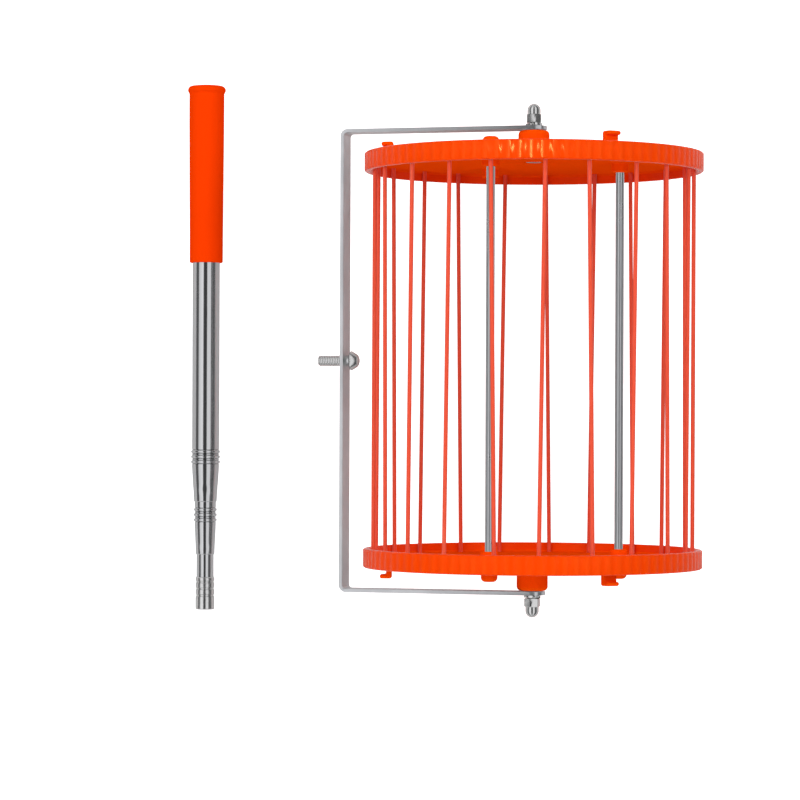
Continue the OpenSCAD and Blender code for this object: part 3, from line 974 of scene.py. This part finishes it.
def hexagon(low, high):
    corner = HEX_FLATS / math.sqrt(3)
    bpy.ops.object.select_all(action="DESELECT")
    bpy.ops.mesh.primitive_cylinder_add(
        vertices=6, radius=corner * MM, depth=(high - low) * MM, location=(0, 0, (low + high) / 2 * MM))
    obj = bpy.context.object
    bpy.ops.object.transform_apply(location=True, rotation=True, scale=True)
    flat = HEX_FLATS / 2 - 0.15
    slope = (corner - flat) * math.tan(math.radians(30))
    turned = lathe("turned", [(0, low), (flat, low), (corner + 0.1, low + slope), (
        corner + 0.1, high - slope), (flat, high), (0, high)], 72)
    return combine(obj, turned, "INTERSECT")


spring_t = 2.3
nut_z = arm_out + spring_t
NUT_HEIGHT = 13.7
NUT_HEX = 6.2
DOME_R = 4.7
BOLT_END = nut_z + 8.5


def cap_nut():
    obj = hexagon(nut_z, nut_z + NUT_HEX)
    top = nut_z + NUT_HEIGHT
    cap = lathe("cap", [(0, nut_z + 1), (DOME_R, nut_z + 1), (DOME_R, top - DOME_R)] + arc(
        0, top - DOME_R, DOME_R, 8, 90, 10), 48)
    combine(obj, cap, "UNION")
    drill(obj, 3.02, nut_z - 1, BOLT_END + 0.5)
    return ease(obj, 0.12, 2, 28)


for side, word in ((-1, "left"), (1, "right")):
    nut = place(cap_nut(), lay_down @ Matrix.Scale(side, 4, (0, 0, 1)) @ at(turn=12 + 9 * side))
    smooth(nut, 25)
    hand_over(nut, f"domed_{word}_cap_nut", nickel_plate, "bracket", "bright_hardware", f"{word}_cap_nut")

# %% [markdown]
# A spring washer is a square wire wound just short of one turn, with its ends offset. The Screw modifier
# winds the wire's cross-section and raises it at the same time, and the two cut ends are then filled.

# %% Spring washers
WIRE = 1.6
WASHER_IN, WASHER_OUT = 3.1, 5.9


def spring_washer():
    section = block("spring_washer", (WASHER_IN, -0.01, arm_out), (WASHER_OUT, 0.01, arm_out + WIRE))
    pick(section, "FACE", lambda p, f: abs(f.normal.y) < 0.9 or f.normal.y > 0)
    bpy.ops.mesh.delete(type="FACE")
    bpy.ops.mesh.select_all(action="SELECT")
    bpy.ops.mesh.delete(type="ONLY_FACE")
    leave()
    apply_modifier(section, "SCREW", axis="Z", angle=math.radians(344), steps=60, render_steps=60,
                   screw_offset=(spring_t - WIRE) * MM, iterations=1, use_merge_vertices=False)
    edit(section)
    bpy.ops.mesh.select_non_manifold()
    bpy.ops.mesh.fill()
    bpy.ops.mesh.select_all(action="SELECT")
    bpy.ops.mesh.normals_make_consistent(inside=False)
    leave()
    return ease(section, 0.15, 2, 40)


for side, word in ((-1, "left"), (1, "right")):
    coil = place(spring_washer(), lay_down @ Matrix.Scale(side, 4, (0, 0, 1)) @ at(turn=70 - 40 * side))
    smooth(coil, 30)
    node = f"{word}_spring_washer"
    hand_over(coil, f"split_{word}_washer", nickel_plate, "bracket", "bright_hardware", node)

# %% [markdown]
# The axle bolts sit inside the drum, head inwards, with a flat washer under each head. Their heads are
# hexagons with a shank welded on. The flat washers, sleeves and tubes are true in the CAD, so each is copied,
# its loose triangles are merged, its flat parts are dissolved into single faces, and its edges are eased.

# %% Axle bolts
FLAT_WASHER = 1.2
HEAD = 4
washer_in = hub_in - 0.85 - FLAT_WASHER


def axle_bolt():
    obj = hexagon(-washer_in, HEAD - washer_in)
    place(obj, Matrix.Scale(-1, 4, (0, 0, 1)))
    shank = lathe("shank", [(0, washer_in - 1), (3, washer_in - 1), (3, BOLT_END - 1), (2.4, BOLT_END), (
        0, BOLT_END)], 40)
    combine(obj, shank, "UNION")
    return ease(obj, 0.12, 2, 28)


for side, word in ((-1, "left"), (1, "right")):
    bolt = place(axle_bolt(), lay_down @ Matrix.Scale(side, 4, (0, 0, 1)) @ at(turn=25 * side))
    smooth(bolt, 25)
    node = f"{word}_axle_bolt"
    hand_over(bolt, f"hexagon_{word}_axle_bolt", nickel_plate, "bracket", "bright_hardware", node)


# %% Eased copies of true CAD parts
def eased_copy(node, name, material, body, slot, width):
    obj = copy_of(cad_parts[node], Matrix.Identity(4), name)
    obj.parent = None
    for key in list(obj.keys()):
        del obj[key]
    edit(obj)
    bpy.ops.mesh.select_all(action="SELECT")
    bpy.ops.mesh.remove_doubles(threshold=0.002 * MM)
    bpy.ops.mesh.dissolve_limited(angle_limit=math.radians(1))
    leave()
    ease(obj, width, 2, 50)
    smooth(obj, 35)
    return hand_over(obj, name, material, body, slot, node)


for word in ("left", "right"):
    name = f"eased_{word}_flat_washer"
    eased_copy(f"{word}_flat_washer", name, nickel_plate, "bracket", "bright_hardware", 0.2)
    eased_copy(f"{word}_axle_sleeve", f"eased_{word}_sleeve", drawn_steel, "bracket", "tube_steel", 0.25)
for k in (1, 2, 3):
    eased_copy(f"tie_tube_{k}", f"eased_tie_tube_{k}", drawn_steel, "drum", "tube_steel", 0.25)

# %% [markdown]
# ## The pole's stud
# The stud has a domed head inside the bracket and a thread outside it. The thread is a real helix: a
# small three-sided ridge wound by the Screw modifier round a core, one turn for each 1.25 mm, and run
# past both ends before a plain cylinder trims it to length.

# %% Thread
STUD_R = 4
THREAD_R = 3.9
CORE_R = 3.25
PITCH = 1.25
STUD_OUT = 18
STUD_LOOSE = 3


def thread(low, high, core, crest):
    turns = math.ceil((high - low) / PITCH) + 2
    half = 0.46 * PITCH
    bpy.ops.object.select_all(action="DESELECT")
    bpy.ops.mesh.primitive_circle_add(vertices=4, radius=MM, fill_type="NOTHING")
    obj = bpy.context.object
    obj.name = "thread"
    corners = [(core - 0.3, -half), (core - 0.3, half), (crest, 0.1 * PITCH), (crest, -0.1 * PITCH)]
    for vertex, (r, z) in zip(obj.data.vertices, corners):
        vertex.co = Vector((r, 0, low - PITCH + z)) * MM
    apply_modifier(
        obj, "SCREW", axis="Z", angle=FULL_TURN, steps=32, render_steps=32, screw_offset=PITCH * MM,
        iterations=turns, use_merge_vertices=True, merge_threshold=0.001 * MM)
    edit(obj)
    bpy.ops.mesh.select_non_manifold()
    bpy.ops.mesh.fill()
    bpy.ops.mesh.select_all(action="SELECT")
    bpy.ops.mesh.normals_make_consistent(inside=False)
    leave()
    return obj


def threaded_rod(low, high):
    ridge = thread(low, high, CORE_R, THREAD_R)
    trim = lathe("trim", [(0, low), (THREAD_R + 0.1, low), (THREAD_R + 0.1, high - 0.9), (CORE_R, high), (
        0, high)], 48)
    combine(ridge, trim, "INTERSECT")
    core = lathe("core", [(0, low - 0.5), (CORE_R, low - 0.5), (CORE_R, high - 0.1), (CORE_R - 0.1, high), (
        0, high)], 48)
    return combine(ridge, core, "UNION")


# %% Stud with its head
head_z = BAR_REACH - BAR - STUD_LOOSE - 0.03
stud_head = lathe("stud_head", [(0, head_z - 6.6)] + arc(0, head_z - 6.6 + 8, 8, 278, 302, 6) + arc(
    6.4, head_z - 0.9, 0.6, -20, 60, 4) + [(6.3, head_z), (STUD_R, head_z), (
    STUD_R, BAR_REACH - 0.3), (STUD_R - 0.3, BAR_REACH), (0, BAR_REACH)], 64)
stud = join([threaded_rod(BAR_REACH, BAR_REACH + STUD_OUT), stud_head])
place(stud, lay_down @ Matrix.Rotation(bracket_turn, 4, "Z") @ sideways)
smooth(stud, 30)
hand_over(stud, "threaded_stud", nickel_plate, "stud", "bright_hardware", "pole_stud")

# %% [markdown]
# ## The pole
# The pole is drawn standing on Z too, counted from the top of the grip, and then laid down. The grip is a
# dipped sleeve: a crowned end with a thick rolled flange, a body that thins slightly towards the tube,
# and a soft lip.

# %% Grip
GRIP = 132
grip_outline = [(0, 0), (5, 0.25), (9, 0.9)] + arc(
    11, 3.95, 2.98, 270, 360, 6) + arc(12.98, 4.6, 1, 0, 60, 3) + arc(13.9, 6.9, 1, 235, 180, 3) + [
    (12.85, 30), (12.6, 70), (12.3, 110)] + arc(11.25, GRIP - 1.0, 1.0, 0, 90, 4) + [
    (10.02, GRIP), (10.02, 4), (0, 4)]
grip = lathe("grip", grip_outline, 72)
place(grip, lay_pole)
smooth(grip, 40)
hand_over(grip, "dipped_grip", grip_orange, "pole_outer", "grip_vinyl", "pole_grip")

# %% [markdown]
# Each tube has a group of rolled beads a little before its end, where it holds the friction spring inside,
# and a swaged neck that guides the next tube. Beads are half circles in the outline, a groove either side
# of each. One shallow dimple is pressed into each neck with a soft, proportional pull, as a punch would.

# %% Tubes
NECK = 19
BEADS = 3
BEAD_PITCH = 3.8
BEAD_HEIGHT = 0.7
BEAD_GROOVE = 0.42


def bead_group(r, first):
    points = []
    for i in range(BEADS):
        z = first + i * BEAD_PITCH
        points += [(r, z - 1.75), (r - BEAD_GROOVE, z - 1.2)]
        points += [(r + BEAD_HEIGHT * math.sin(math.radians(a)), z - 1.0 * math.cos(math.radians(a)))
                   for a in range(0, 181, 20)]
        points += [(r - BEAD_GROOVE, z + 1.2), (r, z + 1.75)]
    return points


def swaged_tube(name, r, wall, next_r, start, end, beads):
    bore_r = next_r + 0.05
    cone = beads + 10
    mouth_r = bore_r + 0.55
    steps = 18
    taper = []
    for i in range(steps + 1):
        share = i / steps
        ease_in = share * share * (3 - 2 * share)
        taper.append((r + (mouth_r - r) * (0.6 * share + 0.4 * ease_in), cone + (end - 0.3 - cone) * share))
    outside = [(r - 0.2, start), (r, start + 0.2)] + bead_group(r, beads) + taper + [(mouth_r - 0.25, end)]
    inside = [(bore_r + 0.15, end), (bore_r, end - 0.2), (bore_r, end - 5), (r - wall, end - NECK), (
        r - wall, start)]
    return lathe(name, outside + inside, 96)


def punch(obj, spot, depth, reach):
    """Presses a dimple: vertices near the spot follow it, less and less with distance."""
    count = pick(obj, "VERT", lambda p, v: (p - spot).length < 1.6)
    bpy.ops.transform.translate(
        value=(0, -depth * MM, 0), use_proportional_edit=True, proportional_edit_falloff="SMOOTH",
        proportional_size=reach * MM, use_proportional_connected=True)
    leave()
    return count


outer_tube = swaged_tube("outer", 10, 0.8, 7.8, 4, 309, 272)
middle_tube = swaged_tube("middle", 7.8, 0.8, 6.3, 39, 348, 315)
print("outer dimple", punch(outer_tube, Vector((0, 8.9, 301)), 0.22, 4), "vertices")
print("middle dimple", punch(middle_tube, Vector((0, 7.0, 343)), 0.2, 3.6), "vertices")
sections = ((outer_tube, "outer_tube", "pole_outer"), (middle_tube, "middle_tube", "pole_middle"))
for tube, name, body in sections:
    place(tube, lay_pole)
    smooth(tube, 30)
    hand_over(tube, "beaded_" + name, polished_steel, body, "stainless_tube", name)
eased_copy("inner_tube", "eased_inner_tube", polished_steel, "pole_inner", "stainless_tube", 0.2)
eased_copy("middle_bush", "eased_middle_bush", natural_nylon, "pole_middle", "nylon_bush", 0.1)
eased_copy("inner_bush", "eased_inner_bush", natural_nylon, "pole_inner", "nylon_bush", 0.1)

# %% [markdown]
# The end socket is a turned piece with three grooves and, in its mouth, the hole for the stud. The hole
# is left plain: its thread is out of sight.

# %% End socket
SOCKET_START, POLE = 365, 389
groove_stations = (368.5, 373.5, 378.5)
socket_outside = [(6.6, SOCKET_START), (7, SOCKET_START + 0.4)]
for z in groove_stations:
    socket_outside += [(7, z - 0.9), (6.45, z - 0.5), (6.45, z + 0.5), (7, z + 0.9)]
socket_outside += [(7, POLE - 0.6), (6.4, POLE)]
mouth = [(4.3, POLE), (3.4, POLE - 0.9), (3.4, POLE - 16), (0, POLE - 16.9)]
outline = [(0, 371), (6.32, 371), (6.32, SOCKET_START)] + socket_outside + mouth
socket_end = lathe("socket_end", outline, 64)
place(socket_end, lay_pole)
smooth(socket_end, 30)
hand_over(socket_end, "turned_socket", nickel_plate, "pole_inner", "bright_hardware", "pole_socket")
